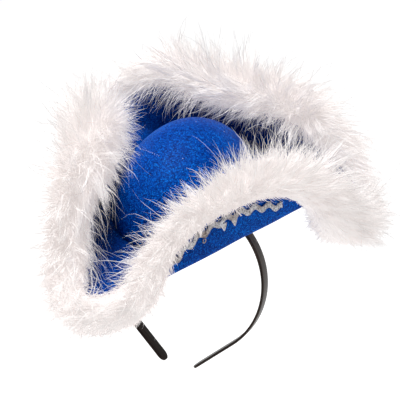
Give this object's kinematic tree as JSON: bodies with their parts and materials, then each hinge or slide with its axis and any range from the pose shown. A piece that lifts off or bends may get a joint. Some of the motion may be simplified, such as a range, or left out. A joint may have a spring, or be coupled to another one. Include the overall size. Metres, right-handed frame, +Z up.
{
  "type": "mini tricorn hat on a headband",
  "caption": "Small costume tricorn in blue glitter felt with a domed crown, turned-up flaps, metallic braid and a white marabou edge, carried on a springy plastic headband.",
  "frame": {"origin": "top of the headband's inner face, where it sits on the head", "axes": "+Z up through the crown, -Y towards the hat's front corner, +X to the wearer's left"},
  "size_m": [0.296, 0.3045, 0.2166],
  "materials": {
    "felt": "royal blue felt with fine glitter",
    "marabou": "white down feather",
    "braid": "silver metallic thread",
    "band": "brown-black satin plastic"
  },
  "bodies": {
    "root": {"crown": "felt", "brim": "felt", "marabou_trim": "marabou", "braid_front_right": "braid", "braid_back": "braid", "braid_front_left": "braid", "headband": "band"}
  },
  "joints": []
}
